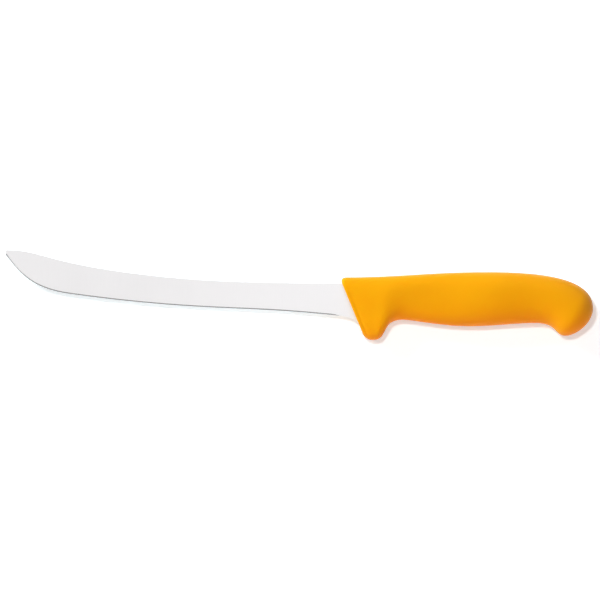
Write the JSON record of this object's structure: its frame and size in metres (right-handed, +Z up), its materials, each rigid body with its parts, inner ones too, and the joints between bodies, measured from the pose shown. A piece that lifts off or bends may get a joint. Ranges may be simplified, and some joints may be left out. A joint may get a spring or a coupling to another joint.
{
  "type": "fillet knife",
  "caption": "Fish fillet knife with a narrow upswept steel blade and a moulded yellow handle with a finger guard and a hooked butt.",
  "frame": {"origin": "centre of the knife's footprint on the surface that it lies on, on its side", "axes": "-X points from handle to tip, +Y from cutting edge to spine, +Z up out of the lying knife's side"},
  "size_m": [0.3435, 0.053, 0.0218],
  "materials": {
    "blade": "satin, ground across, with a polished cutting bevel",
    "handle": "finely textured moulding, satin"
  },
  "bodies": {
    "root": {"blade": "blade", "handle": "handle"}
  },
  "joints": []
}
